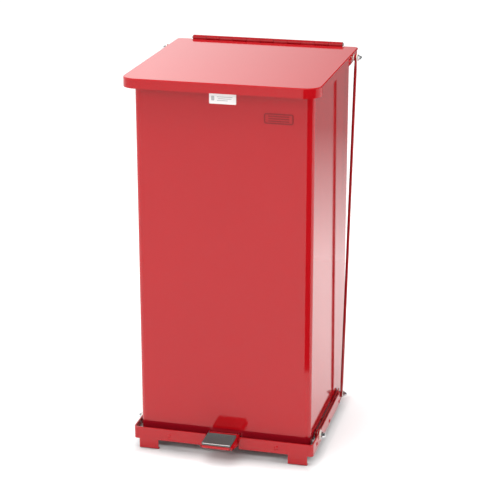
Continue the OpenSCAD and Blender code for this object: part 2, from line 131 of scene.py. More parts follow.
# a node tree; node() adds any node, its settings first and then its sockets
class Graph:
    def __init__(self, tree):
        self.tree = tree

    def node(self, kind, settings=None, inputs=None, output=0):
        made = self.tree.nodes.new("ShaderNode" + kind)
        for key, value in (settings or {}).items():
            if key == "stops":
                ramp = made.color_ramp.elements
                while len(ramp) < len(value):
                    ramp.new(0.5)
                for element, (position, shade) in zip(ramp, value):
                    element.position = position
                    element.color = (shade, shade, shade, 1)
            else:
                setattr(made, key, value)
        for key, value in (inputs or {}).items():
            self.feed(made.inputs[key], value)
        return Signal(self, made.outputs[output])

    def feed(self, socket, value):
        if isinstance(value, Signal):
            self.tree.links.new(value.socket, socket)
        else:
            socket.default_value = value

    def fade(self, value, start, end, first=0.0, last=1.0):
        return self.node("MapRange", None, {0: value, 1: start, 2: end, 3: first, 4: last})

    def axis(self, vector, index):
        return self.node("SeparateXYZ", None, {0: vector}, output=index)


# one material: its graph, its shader and the place on the object
class Surface(Graph):
    def __init__(self, name, **constants):
        self.material = bpy.data.materials.new(name)
        self.material.use_nodes = True
        super().__init__(self.material.node_tree)
        self.shader = self.tree.nodes["Principled BSDF"]
        self.set(**constants)
        self.place = self.node("TexCoord", output="Object")

    def along(self, index):
        return self.axis(self.place, index)

    def noise(self, scale, detail=2.0, rough=0.5, warp=0.0, place=None):
        return self.node("TexNoise", None, {
            "Vector": place or self.place, "Scale": scale, "Detail": detail,
            "Roughness": rough, "Distortion": warp,
        })

    def ramp(self, value, *stops):
        return self.node("ValToRGB", {"stops": stops}, {"Fac": value})

    def blendColour(self, amount, first, second):
        return self.node("Mix", {"data_type": 'RGBA'}, {0: amount, 6: first, 7: second}, output=2)

    def grey(self, amount):
        return self.node("CombineXYZ", None, {0: amount, 1: amount, 2: amount})

    def set(self, **sockets):
        for name, value in sockets.items():
            self.feed(self.shader.inputs[name.replace("_", " ")], value)

    def finish(self, colour, roughness, height, distance, strength):
        bump = self.node("Bump", None, {"Height": height, "Distance": distance, "Strength": strength})
        self.set(Base_Color=colour, Roughness=roughness, Normal=bump)
        return self.material


paintLook = {
    "deep": (0.355, 0.003, 0.006, 1),
    "bright": (0.405, 0.004, 0.008, 1),
    "scuff": (0.20, 0.010, 0.014, 1),
    # darker tone for the painted shade band behind the base rail
    "paintedGapShade": (0.22, 0.004, 0.010, 1),
    "roughness": 0.035,
}


# red enamel: fine orange peel, faint tone drift, scuffs low down, and, when a height is given, a darker band
# below it: painted shade for the shadow in the gap behind the base rail
def makePaint(name, shade, shadeBandTop=0.0):
    s = Surface(name, IOR=1.5, Specular_IOR_Level=0.5)
    drift = s.noise(5.0, 3.0)
    fine = s.noise(90.0, 4.0, 0.6)
    deep, bright = ([c * shade for c in paintLook[k][:3]] + [1] for k in ("deep", "bright"))
    paint = s.blendColour(drift * 0.7 + fine * 0.3, deep, bright)
    low = s.fade(s.along(2), 0.16, 0.0)
    streak = s.node("Mapping", None, {"Vector": s.place, "Scale": (1.0, 1.0, 7.0)})
    marks = s.ramp(s.noise(60.0, 6.0, 0.7, 0.4, streak), (0.60, 0.0), (0.72, 1.0))
    scuffs = marks * low * 0.55
    painted = s.blendColour(scuffs, paint, paintLook["scuff"])
    # painted shade: below the given height the paint turns to a darker tone, standing in for the shadow
    # behind the base rail
    if shadeBandTop:
        paintedGapShade = s.fade(s.along(2) + drift * 0.002, shadeBandTop + 0.003, shadeBandTop)
        ahead = s.fade(s.along(1), 0.10, -0.06)  # none on the rear legs
        painted = s.blendColour(paintedGapShade * ahead * 0.9, painted, paintLook["paintedGapShade"])
    dull = s.noise(14.0, 3.0) * 0.05 + fine * 0.03 + scuffs * 0.35 + paintLook["roughness"]
    peel = s.noise(420.0, 2.0) * 0.7 + s.noise(1100.0, 1.0) * 0.3
    return s.finish(painted, dull, peel + scuffs * -0.5, 0.00004, 0.22)


zincLook = {"light": (0.66, 0.68, 0.69, 1), "dark": (0.44, 0.46, 0.48, 1)}


# hot-dip galvanised sheet with crystal spangle
def makeZinc():
    s = Surface("galvanisedSheet", Metallic=0.9)
    swirl = s.node("TexNoise", None, {"Vector": s.place, "Scale": 30.0}, output=1)
    warped = s.node("Mix", {"data_type": 'VECTOR'}, {0: 0.02, 4: s.place, 5: swirl}, output=1)
    cells = s.node("TexVoronoi", None, {"Vector": warped, "Scale": 95.0}, output=1)
    grain = s.node("SeparateColor", None, {0: cells})
    rims = s.node("TexVoronoi", {"feature": 'DISTANCE_TO_EDGE'}, {"Vector": warped, "Scale": 95.0})
    cloud = s.noise(9.0, 4.0)
    stain = s.ramp(s.noise(6.0, 5.0, 0.6), (0.52, 0.0), (0.72, 1.0))
    tone = (grain * 0.6 + cloud * 0.4 - stain * 0.25).clamp()
    dull = grain * 0.16 + cloud * 0.10 + stain * 0.15 + 0.28
    relief = grain * 0.5 + s.ramp(rims, (0.0, 0.0), (0.06, 1.0)) * 0.3 + s.noise(700.0) * 0.2
    return s.finish(s.blendColour(tone, zincLook["dark"], zincLook["light"]), dull, relief, 0.00006, 0.5)


# zinc-plated turned steel, faint yellow passivation
def makePlated():
    s = Surface("platedSteel", Metallic=1.0)
    tint = s.noise(60.0, 3.0)
    marks = s.noise(1500.0, 3.0, 0.6)
    colour = s.blendColour(tint, (0.62, 0.63, 0.66, 1), (0.72, 0.70, 0.62, 1))
    return s.finish(colour, tint * 0.12 + marks * 0.10 + 0.22, marks, 0.00002, 0.4)


# polished chrome with faint handling haze
def makeChrome():
    s = Surface("polishedChrome", Metallic=1.0)
    haze = s.ramp(s.noise(180.0, 4.0), (0.45, 0.0), (0.75, 1.0))
    colour = s.blendColour(haze, (0.74, 0.75, 0.76, 1), (0.63, 0.64, 0.65, 1))
    return s.finish(colour, haze * 0.10 + 0.07, s.noise(900.0, 2.0), 0.00001, 0.3)


# moulded rubber, pebbled, dusty in places
def makeRubber(name, dark, light, dust):
    s = Surface(name, Specular_IOR_Level=0.35)
    wear = s.noise(70.0, 5.0, 0.65)
    pebble = s.noise(1600.0, 3.0, 0.6)
    specks = s.ramp(s.noise(420.0, 3.0), (0.60, 0.0), (0.70, 1.0))
    colour = s.blendColour(specks * 0.25, s.blendColour(wear, dark, light), dust)
    return s.finish(colour, wear * 0.15 + pebble * 0.10 + 0.52, pebble * 0.8 + wear * 0.2, 0.00012, 0.6)


# turned nylon, slightly yellowed
def makeNylon():
    s = Surface("whiteNylon", Subsurface_Weight=0.08, Subsurface_Radius=(0.002, 0.0015, 0.001))
    age = s.noise(220.0, 3.0)
    colour = s.blendColour(age, (0.86, 0.85, 0.80, 1), (0.78, 0.75, 0.66, 1))
    return s.finish(colour, age * 0.15 + 0.34, s.noise(1400.0, 2.0), 0.00003, 0.4)


# plain vinyl sticker with a fine tooth
def makeVinyl():
    s = Surface("blankVinyl", Coat_Weight=0.3, Coat_Roughness=0.15)
    tooth = s.noise(900.0, 3.0, 0.6)
    age = s.noise(35.0, 4.0)
    colour = s.blendColour(age, (0.88, 0.88, 0.87, 1), (0.81, 0.80, 0.78, 1))
    return s.finish(colour, tooth * 0.12 + age * 0.08 + 0.25, tooth, 0.00003, 0.4)


# plain grey blocks on the sticker
def makeInk():
    s = Surface("greyInk", Specular_IOR_Level=0.3)
    patch = s.noise(1800.0, 3.0, 0.6)
    colour = s.blendColour(patch, (0.36, 0.37, 0.38, 1), (0.55, 0.56, 0.57, 1))
    return s.finish(colour, patch * 0.2 + 0.4, patch, 0.00001, 0.3)


redPaint = makePaint("redEnamel", 1.0)
# the body's paint carries the painted shade band below 54 mm
bodyPaint = makePaint("redEnamelBody", 1.0, 0.054)
# darker copy of the red paint: painted shade so the raised badge reads as relief against the body
shadedPaint = makePaint("redEnamelBadgeShade", 0.55)
# darker copy of the red paint for the hinge and the push rods: painted shade standing in for the dark
# reflections these round parts show
shadedBarPaint = makePaint("redEnamelBarShaded", 0.74)
zinc = makeZinc()
plated = makePlated()
chrome = makeChrome()
blackRubber = makeRubber("blackRubber", (0.020, 0.020, 0.021, 1), (0.040, 0.040, 0.041, 1),
                         (0.20, 0.19, 0.18, 1))
greyRubber = makeRubber("greyRubber", (0.060, 0.078, 0.076, 1), (0.085, 0.104, 0.101, 1),
                        (0.30, 0.29, 0.28, 1))
nylon = makeNylon()
vinyl = makeVinyl()
inkGrey = makeInk()
print("materials made")


# evenly spaced angles from start to end in degrees, given in radians
def angles(start, end, steps):
    return [math.radians(start + (end - start) * i / steps) for i in range(steps + 1)]


def arc(x, y, r, start, end, steps):
    return [(x + r * math.cos(a), y + r * math.sin(a)) for a in angles(start, end, steps)]


def circle(x, y, r, steps=24):
    return arc(x, y, r, 0, 360 - 360 / steps, steps - 1)


def roundRect(x0, y0, x1, y1, r, steps=6):
    return (arc(x1 - r, y0 + r, r, -90, 0, steps) + arc(x1 - r, y1 - r, r, 0, 90, steps)
            + arc(x0 + r, y1 - r, r, 90, 180, steps) + arc(x0 + r, y0 + r, r, 180, 270, steps))


# flat sheet blank in u, v with its face at w = 0 and its back at -thickness
def blank(outline, holes, thickness):
    bm = bmesh.new()
    for loop in [outline, *holes]:
        verts = [bm.verts.new((u, v, 0)) for u, v in loop]
        for a, b in zip(verts, verts[1:] + verts[:1]):
            bm.edges.new((a, b))
    bmesh.ops.triangle_fill(bm, use_beauty=True, use_dissolve=False, edges=bm.edges[:], normal=(0, 0, 1))
    grown = bmesh.ops.extrude_face_region(bm, geom=bm.faces[:])
    moved = [g for g in grown["geom"] if isinstance(g, bmesh.types.BMVert)]
    bmesh.ops.translate(bm, vec=(0, 0, -thickness), verts=moved)
    bmesh.ops.recalc_face_normals(bm, faces=bm.faces[:])
    return bm


# press brake: everything past the line at along (0 = u, 1 = v) bends away from the face
def fold(bm, along, at, side, degrees, radius, steps=8):
    angle = math.radians(degrees)
    length = radius * angle
    normal = Vector((1, 0, 0)) if along == 0 else Vector((0, 1, 0))
    for i in range(steps + 1):
        spot = normal * (at + side * length * i / steps)
        bmesh.ops.bisect_plane(bm, geom=bm.verts[:] + bm.edges[:] + bm.faces[:], plane_co=spot,
                               plane_no=normal, dist=tiny)
    for v in bm.verts:
        d = (v.co[along] - at) * side
        if d <= tiny:
            continue
        reach = radius + v.co.z
        t = min(d, length) / radius
        rest = max(0.0, d - length)
        v.co[along] = at + side * (reach * math.sin(t) + rest * math.cos(t))
        v.co.z = -radius + reach * math.cos(t) - rest * math.sin(t)


# axes that a flat blank is set up in: u, v and the face's outward side
def stand(origin, u, v):
    u, v = Vector(u), Vector(v)
    w = u.cross(v)
    turn = Matrix((u, v, w)).transposed().to_4x4()
    return Matrix.Translation(origin) @ turn


def facingFront(y):
    return stand((0, y, 0), (1, 0, 0), (0, 0, 1))


def facingRight(x):
    return stand((x, 0, 0), (0, 1, 0), (0, 0, 1))


# closed ring of quads from loops of points, all of one length
def loft(bm, loops, closed=False):
    rows = [[bm.verts.new(p) for p in loop] for loop in loops]
    count = len(rows[0])
    pairs = list(zip(rows, rows[1:]))
    if closed:
        pairs.append((rows[-1], rows[0]))
    for below, above in pairs:
        for i in range(count):
            j = (i + 1) % count
            bm.faces.new((below[i], below[j], above[j], above[i]))
    return rows


# loops of points round an axis through origin, one for each (radius, distance along) of a profile
def spun(profile, origin, axis, steps, start=0):
    spin = Vector(axis).to_track_quat('Z', 'Y').to_matrix()
    return [[Vector(origin) + spin @ Vector((r * math.cos(a), r * math.sin(a), h))
             for a in angles(start, start + 360, steps)[:-1]] for r, h in profile]


# solid of revolution, closed at both ends
def turned(bm, profile, origin, axis, steps):
    start = len(bm.verts)
    rows = loft(bm, spun(profile, origin, axis, steps))
    for end in (0, -1):
        if profile[end][0] > tiny:
            bm.faces.new(rows[end])
    bm.verts.ensure_lookup_table()
    bmesh.ops.remove_doubles(bm, verts=bm.verts[start:], dist=tiny)


# ring of revolution: a closed profile that never reaches the axis
def turnedRing(bm, profile, origin, axis, steps):
    loft(bm, spun(profile, origin, axis, steps), closed=True)


def washerProfile(bore, r, thick, edge):
    return [(bore, edge), (bore + edge, 0), (r - edge, 0), (r, edge),
            (r, thick - edge), (r - edge, thick), (bore + edge, thick), (bore, thick - edge)]


def domeProfile(r, high, steps=7):
    ball = (r * r + high * high) / (2 * high)
    reach = math.asin(r / ball)
    turns = angles(math.degrees(reach), 0, steps)
    return [(ball * math.sin(a), high - ball + ball * math.cos(a)) for a in turns]


def meshFrom(name, bm):
    mesh = bpy.data.meshes.new(name)
    bm.to_mesh(mesh)
    bm.free()
    return mesh


# turns a bmesh into a finished piece of the model
def piece(name, bm, material, body, node, place=None, edge=0.3 * mm, smooth=40, mirror=False):
    if place is not None:
        bm.transform(place)
    if mirror:
        bm.transform(flip)
    bmesh.ops.recalc_face_normals(bm, faces=bm.faces[:])
    mesh = meshFrom(name, bm)
    mesh.shade_smooth()
    mesh.set_sharp_from_angle(angle=math.radians(smooth))
    mesh.materials.append(material)
    made = placed(name, mesh)
    if edge:
        bevel = made.modifiers.new("edge", 'BEVEL')
        bevel.width = edge
        bevel.segments = 2
        bevel.limit_method = 'ANGLE'
        bevel.angle_limit = math.radians(smooth)
        made.modifiers.new("level", 'WEIGHTED_NORMAL')
    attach(made, body)
    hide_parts(node)
    return made


def joined(*parts):
    whole = bmesh.new()
    for part in parts:
        mesh = meshFrom("part", part)
        whole.from_mesh(mesh)
        bpy.data.meshes.remove(mesh)
    return whole


# both sides of a symmetric piece in one bmesh
def bothSides(make):
    left = make()
    left.transform(flip)
    bmesh.ops.recalc_face_normals(left, faces=left.faces[:])
    return joined(make(), left)


# body: one wrapped sheet with rear legs, pedal slots and axle holes, a rolled hem and a rear seam
bodyLook = {
    "corner": 13 * mm,
    "sheet": 1.2 * mm,
    "lowEdge": 20 * mm,
    "legWidth": 40 * mm,
    "legRound": 3 * mm,
    "slotIn": 28.3 * mm,
    "slotOut": 33.2 * mm,
    "slotTop": 46.8 * mm,
    "slotRound": 1.5 * mm,
    "axleHole": 7 * mm,
    "hemWidth": 8 * mm,
    "hemHeight": 3 * mm,
    "hemRound": 1.2 * mm,
    "seamWidth": 14 * mm,
    "seamProud": 0.8 * mm,
}


def makeBody():
    k = bodyLook
    r = k["corner"]
    quarter = r * math.pi / 2
    frontBend = halfWide - r
    rearBend = frontBend + quarter + 2 * (halfDeep - r)
    end = rearBend + quarter + halfWide - r - 0.1 * mm
    legOut = rearBend - (k["legWidth"] - r)
    legIn = rearBend + quarter + (k["legWidth"] - r)
    top = bodyHigh.z - k["hemHeight"]
    low, leg, soft = k["lowEdge"], k["legRound"], k["slotRound"]
    right = [(k["slotIn"], low)]
    right += arc(k["slotIn"] + soft, k["slotTop"] - soft, soft, 180, 90, 4)
    right += arc(k["slotOut"] - soft, k["slotTop"] - soft, soft, 90, 0, 4)
    right += [(k["slotOut"], low), (legOut, low)] + arc(legOut + leg, leg, leg, 180, 270, 5)
    right += arc(legIn - leg, leg, leg, 270, 360, 5) + [(legIn, low), (end, low), (end, top)]
    outline = right + [(-u, v) for u, v in reversed(right)]
    axleU = frontBend + quarter + (axle.y - frontY - r)
    holes = [circle(s * axleU, axle.z, k["axleHole"], 28) for s in (1, -1)]
    sheet = blank(outline, holes, k["sheet"])
    for side in (1, -1):
        fold(sheet, 0, side * rearBend, side, 90, r, 10)
        fold(sheet, 0, side * frontBend, side, 90, r, 10)
    sheet.transform(facingFront(frontY))

    hem = bmesh.new()
    w, h, soft = k["hemWidth"], k["hemHeight"], k["hemRound"]
    section = (arc(soft, h - soft, soft, 180, 90, 4) + arc(w - soft, h - soft, soft, 90, 0, 4)
               + arc(w - soft, soft, soft, 0, -90, 4) + [(k["sheet"], 0), (0, 0)])
    loops = []
    for inset, z in section:
        x1, y1 = halfWide - inset, halfDeep - inset
        ring = roundRect(-x1, -y1, x1, y1, max(r - inset, 3 * mm), 10)
        loops.append([(x, y + bodyY, top + z) for x, y in ring])
    loft(hem, loops, closed=True)

    seamHalf = k["seamWidth"] / 2
    seam = blank(roundRect(-seamHalf, low, seamHalf, top, 1 * mm, 3), [], k["seamProud"])
    seam.transform(stand((0, rearY + k["seamProud"], 0), (-1, 0, 0), (0, 0, 1)))
    piece("bodyShell", joined(sheet, hem, seam), bodyPaint, "can", "body_shell")


makeBody()
print("body made")


# lid: pressed tray whose front skirt wraps the corners and steps in along the sides
lidLook = {
    "frontCorner": 30 * mm,
    "rearCorner": 8 * mm,
    "sheet": 1.2 * mm,
    "frontReach": 5.5 * mm,
    "sideInset": 1.5 * mm,
    "slit": 8 * mm,
    "bend": 2.2 * mm,
    "hingeGapHalf": 160 * mm,
    "hingeGapDepth": 8 * mm,
}


def makeLid():
    k = lidLook
    half = lidHigh.x
    y0, y1 = lidLow.y, lidHigh.y
    rf, rr = k["frontCorner"], k["rearCorner"]
    stepY = frontY - k["frontReach"]
    cutY = hingeLine.y - k["hingeGapDepth"]
    gap = k["hingeGapHalf"]

    # each point: place on the outline, inward direction, part of the rim
    def corner(x, y, r, start, end, steps, part):
        return [(x + r * math.cos(a), y + r * math.sin(a), -math.cos(a), -math.sin(a), part)
                for a in angles(start, end, steps)]

    rim = [(gap, cutY, 0, -1, "rear"), (gap, y1, 0, -1, "rear")]
    rim += corner(half - rr, y1 - rr, rr, 90, 0, 6, "rear")
    rim[-1] = rim[-1][:4] + ("side",)
    rim += [(half, stepY + k["slit"], -1, 0, "side"), (half, stepY, -1, 0, "slit")]
    rim += [(half, stepY, -1, 0, "front")] + corner(half - rf, y0 + rf, rf, 0, -90, 16, "front")
    rim += [(-x, y, -nx, ny, part) for x, y, nx, ny, part in reversed(rim)]
    top, low, b = lidHigh.z, lidLow.z, k["bend"]
    # each level: height, inset of the front, inset of the sides
    levels = [(low, 0, k["sideInset"]), (top - b - 1.6 * mm, 0, k["sideInset"]), (top - b - 1.2 * mm, 0, 0),
              (top - b, 0, 0)]
    for a in angles(15, 90, 5):
        inset = b * (1 - math.cos(a))
        levels.append((top - b + b * math.sin(a), inset, inset))
    bm = bmesh.new()
    rows = []
    for z, front, side in levels:
        row = []
        for x, y, nx, ny, part in rim:
            inset = front if part == "front" else side
            if part == "rear" and z < top - b:
                inset = 0
            row.append(bm.verts.new((x + nx * inset, y + ny * inset, z)))
        rows.append(row)
    count = len(rim)
    for level, (below, above) in enumerate(zip(rows, rows[1:])):
        for i in range(count):
            j = (i + 1) % count
            parts = (rim[i][4], rim[j][4])
            openRear = level < 3 and "rear" in parts
            openSlit = level == 0 and "side" in parts and "slit" in parts
            if openRear or openSlit:
                continue
            bm.faces.new((below[i], below[j], above[j], above[i]))
    bm.faces.new(rows[-1])
    bmesh.ops.remove_doubles(bm, verts=bm.verts[:], dist=tiny)
    bmesh.ops.delete(bm, geom=[v for v in bm.verts if not v.link_faces], context='VERTS')
    made = piece("lidPanel", bm, redPaint, "lid", "lid_panel", edge=0.35 * mm)
    skin = made.modifiers.new("sheet", 'SOLIDIFY')
    skin.thickness = k["sheet"]
    skin.use_even_offset = True
    made.modifiers.move(made.modifiers.find("sheet"), 0)


makeLid()
print("lid made")


# folded stiffener, bumpers and rod brackets under the lid
fittingLook = {
    "sheet": 1.2 * mm,
    "flange": 9 * mm,
    "bend": 1.8 * mm,
    "bumper": 3.6 * mm,
    "bracketRound": 3 * mm,
}


def makeLidFittings():
    k = fittingLook
    low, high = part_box("lid_front_stiffener")
    t, flange, r = k["sheet"], k["flange"], k["bend"]
    wide, deep = high.x - low.x, high.y - low.y
    flat = deep - 2 * r
    run = flat / 2 + r * math.pi / 2 + flange - r
    sheet = blank(roundRect(-wide / 2, -run, wide / 2, run, 2 * mm, 4), [], t)
    for side in (1, -1):
        fold(sheet, 1, side * flat / 2, side, 90, r, 6)
    place = stand(((low.x + high.x) / 2, (low.y + high.y) / 2, low.z), (1, 0, 0), (0, -1, 0))
    piece("lidStiffener", sheet, redPaint, "lid", "lid_front_stiffener", place)

    bumpers = bmesh.new()
    low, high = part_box("lid_bumpers")
    r, tall = k["bumper"], high.z - low.z
    profile = [(r * 0.97, 0), (r, -1 * mm), (r * 0.9, -tall + 1.2 * mm), (r * 0.75, -tall + 0.3 * mm),
               (r * 0.4, -tall), (0, -tall)]
    for x in (low.x + r, high.x - r):
        for y in (low.y + r, high.y - r):
            turned(bumpers, profile, (x, y, high.z), (0, 0, 1), 24)
    piece("lidBumpers", bumpers, blackRubber, "lid", "lid_bumpers", edge=0)

    low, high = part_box("rod_bracket_right")
    soft = k["bracketRound"]
    outline = arc(low.y + soft, low.z + soft, soft, 180, 270, 4)
    outline += arc(rodTop.y, rodTop.z, high.y - rodTop.y, -90, 0, 10)
    outline += [(high.y, high.z), (low.y, high.z)]
    for side in ("right", "left"):
        plate = blank(outline, [circle(rodTop.y, rodTop.z, boltBore)], high.x - low.x)
        piece("rodBracket" + side.title(), plate, redPaint, "lid", "rod_bracket_" + side,
              facingRight(high.x), mirror=side == "left")


makeLidFittings()


# hinge: two leaves with rolled knuckles on one pin
hingeLook = {
    "knuckles": 11,
    "gap": 0.2 * mm,
    "radius": 5.2 * mm,
    "bore": 2.6 * mm,
    "leaf": 1.8 * mm,
    "leafRound": 4 * mm,
    "pin": 2.5 * mm,
    "pinHead": 4.2 * mm,
    "pinDome": 1.6 * mm,
}


# edge of a leaf: a tooth from base out to tip for each knuckle
def teeth(cells, base, tip):
    return [spot for x0, x1 in reversed(cells) for spot in ((x1, base), (x1, tip), (x0, tip), (x0, base))]


def leafPiece(name, node, body, outline, place, cells):
    k = hingeLook
    leaf = blank(outline, [], k["leaf"])
    leaf.transform(place)
    rings = bmesh.new()
    for x0, x1 in cells:
        section = washerProfile(k["bore"], k["radius"], x1 - x0, 0.45 * mm)
        turnedRing(rings, section, (x0, hingeLine.y, hingeLine.z), (1, 0, 0), 36)
    piece(name, joined(leaf, rings), shadedBarPaint, body, node, edge=0.25 * mm)


def makeHinge():
    k = hingeLook
    low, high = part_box("hinge_body_leaf")
    pitch = (high.x - low.x) / k["knuckles"]
    t, gap, soft = k["leaf"], k["gap"] / 2, k["leafRound"]
    cells = [(low.x + i * pitch + gap, low.x + (i + 1) * pitch - gap) for i in range(k["knuckles"])]
    lowTop = hingeLine.z - k["radius"] - 0.6 * mm
    outline = arc(high.x - soft, low.z + soft, soft, -90, 0, 5)
    outline += teeth(cells[0::2], lowTop, hingeLine.z)[1:-1]
    outline += arc(low.x + soft, low.z + soft, soft, 180, 270, 5)
    outline = [(-x, z) for x, z in reversed(outline)]  # seen from behind
    leafPiece("hingeBodyLeaf", "hinge_body_leaf", "can", outline,
              stand((0, low.y + t, 0), (-1, 0, 0), (0, 0, 1)), cells[0::2])

    low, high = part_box("hinge_lid_leaf")
    edgeY = hingeLine.y - lidLook["hingeGapDepth"]
    outline = [(low.x, low.y), (high.x, low.y), (high.x, edgeY)]
    outline += teeth(cells[1::2], edgeY, hingeLine.y) + [(low.x, edgeY)]
    leafPiece("hingeLidLeaf", "hinge_lid_leaf", "lid", outline,
              stand((0, 0, low.z + t), (1, 0, 0), (0, 1, 0)), cells[1::2])

    pin = bmesh.new()
    low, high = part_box("hinge_pin")
    r, head, dome = k["pin"], k["pinHead"], k["pinDome"]
    turned(pin, [(r, 0), (r, high.x - low.x)], (low.x, hingeLine.y, hingeLine.z), (1, 0, 0), 24)
    for x, way in ((high.x - dome, 1), (low.x + dome, -1)):
        profile = [(head, 0)] + domeProfile(head, dome)
        turned(pin, profile, (x, hingeLine.y, hingeLine.z), (way, 0, 0), 28)
    piece("hingePin", pin, plated, "can", "hinge_pin", edge=0)


makeHinge()
print("hinge made")


# rivets, one dome head for every place in the frame, and the tubes behind the base rail
rivetLook = {
    "head": 4.5 * mm,
    "dome": 1.8 * mm,
    "bracketHead": 3 * mm,
    "bracketDome": 1.2 * mm,
    "padHead": 3.5 * mm,
    "padDome": 1.5 * mm,
    "nearFront": (22 * mm, 32 * mm),
    "middle": (144.5 * mm, 27 * mm),
    "rearZ": 27 * mm,
    "frontX": 110 * mm,
    "frontZ": 33 * mm,
    "hingeRow": 4,
    "tubeBore": 2.55 * mm,
    "sideTube": 3.6 * mm,
    "frontTube": 4.6 * mm,
}


def rivets(name, node, body, spots, r, high, material=redPaint):
    sunk = 0.2 * mm
    profile = [(r, 0), (r, sunk)] + [(a, h + sunk) for a, h in domeProfile(r, high)[1:]]
    heads = bmesh.new()
    for spot, axis in spots:
        turned(heads, profile, Vector(spot) - Vector(axis) * sunk, axis, 24)
    piece(name, heads, material, body, node, edge=0)


def row(low, high, head, count):
    return [low.x + head + (high.x - low.x - 2 * head) * i / (count - 1) for i in range(count)]


def makeRivets():
    k = rivetLook
    head, dome = k["head"], k["dome"]
    low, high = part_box("frame_rivets")
    railLow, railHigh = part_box("base_frame")
    sideSpots = [(frontY + y, z) for y, z in (k["nearFront"], k["middle"])] + [(high.y - head, k["rearZ"])]
    spots = []
    for s in (1, -1):
        spots += [((s * railHigh.x, y, z), (s, 0, 0)) for y, z in sideSpots]
        spots.append(((s * k["frontX"], railLow.y, k["frontZ"]), (0, -1, 0)))
    rivets("frameRivets", "frame_rivets", "can", spots, head, dome)

    low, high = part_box("hinge_body_rivets")
    y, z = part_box("hinge_body_leaf")[0].y + hingeLook["leaf"], (low.z + high.z) / 2
    spots = [((x, y, z), (0, 1, 0)) for x in row(low, high, head, k["hingeRow"])]
    rivets("hingeBodyRivets", "hinge_body_rivets", "can", spots, head, dome)

    low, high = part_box("hinge_lid_rivets")
    y, z = (low.y + high.y) / 2, high.z
    spots = [((x, y, z), (0, 0, -1)) for x in row(low, high, head, k["hingeRow"])]
    rivets("hingeLidRivets", "hinge_lid_rivets", "lid", spots, head, dome)

    low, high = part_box("bracket_rivets")
    r, rise = k["bracketHead"], k["bracketDome"]
    x, z = high.x - rise, (low.z + high.z) / 2
    spots = [((s * x, y, z), (s, 0, 0)) for s in (1, -1) for y in (low.y + r, high.y - r)]
    rivets("bracketRivets", "bracket_rivets", "lid", spots, r, rise)

    low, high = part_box("pad_rivets")
    r = k["padHead"]
    spots = [((x, y, high.z), (0, 0, -1)) for x in (low.x + r, high.x - r) for y in (low.y + r, high.y - r)]
    rivets("padRivets", "pad_rivets", "pedal", spots, r, k["padDome"], plated)

    tubes = bmesh.new()
    low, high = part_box("frame_spacers")
    x, y = halfWide + 0.05 * mm, frontY - 0.05 * mm
    sideTube = washerProfile(k["tubeBore"], k["sideTube"], high.x - x, 0.3 * mm)
    frontTube = washerProfile(k["tubeBore"], k["frontTube"], y - low.y, 0.3 * mm)
    for s in (1, -1):
        for spotY, z in sideSpots:
            turnedRing(tubes, sideTube, (s * x, spotY, z), (s, 0, 0), 24)
        turnedRing(tubes, frontTube, (s * k["frontX"], y, k["frontZ"]), (0, -1, 0), 24)
    piece("frameSpacers", tubes, plated, "can", "frame_spacers", edge=0)


makeRivets()
print("rivets made")


# base rail: a strip folded round the front corners, with foot, ear and bush hole on each side
railLook = {
    "strip": 2.5 * mm,
    "corner": 7 * mm,
    "low": 21 * mm,
    "high": 46 * mm,
    "footIn": 133 * mm,
    "footOut": 172 * mm,
    "footFlange": 9 * mm,
    "footBend": 1.5 * mm,
    "notchGap": 1.2 * mm,
    "ear": 12 * mm,
    "bushHole": 7.5 * mm,
}


def makeRail():
    k = railLook
    low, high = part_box("base_frame")
    r, t = k["corner"], k["strip"]
    quarter = r * math.pi / 2
    bend = high.x - r
    end = bend + quarter + (high.y - low.y - r)
    axleU = bend + quarter + axle.y - (low.y + r)
    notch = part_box("pedal_plate")[1].x + k["notchGap"]
    flangeBend = k["footBend"] + t
    foot = k["footFlange"] + flangeBend * (math.pi / 2 - 2)
    dx = math.sqrt(k["ear"] ** 2 - (k["high"] - axle.z) ** 2)
    span = math.degrees(math.atan2(k["high"] - axle.z, dx))
    lowSoft, topSoft, soft = 1.5 * mm, 2.5 * mm, 3 * mm
    outline = arc(notch + lowSoft, k["low"] + lowSoft, lowSoft, 180, 270, 3)
    outline += [(k["footIn"], k["low"]), (k["footIn"], -foot)]
    outline += [(k["footOut"], -foot), (k["footOut"], k["low"])]
    outline += arc(end - soft, k["low"] + soft, soft, 270, 360, 4)
    outline += arc(end - soft, k["high"] - soft, soft, 0, 90, 4)
    outline += arc(axleU, axle.z, k["ear"], span, 180 - span, 14)
    outline += arc(notch + topSoft, k["high"] - topSoft, topSoft, 90, 180, 4)

    def half():
        strip = blank(outline, [circle(axleU, axle.z, k["bushHole"], 32)], t)
        fold(strip, 1, flangeBend, -1, 90, flangeBend, 6)
        fold(strip, 0, bend, 1, 90, r, 10)
        strip.transform(facingFront(low.y))
        return strip

    piece("baseRail", bothSides(half), redPaint, "can", "base_frame", edge=0.5 * mm)


makeRail()
print("base rail made")


# pedal: pressed channel with a front lip, its flanges run back to the axle
pedalLook = {
    "tread": 2.4 * mm,
    "bend": 3.6 * mm,
    "lip": 6 * mm,
    "hub": 10 * mm,
    "backGap": 3 * mm,
    "padCorner": 2 * mm,
    "padBorder": 2.2 * mm,
    "padDish": 0.35 * mm,
    "highlightStrip": 0.7 * mm,
    "highlightStripTall": 1.4 * mm,
}


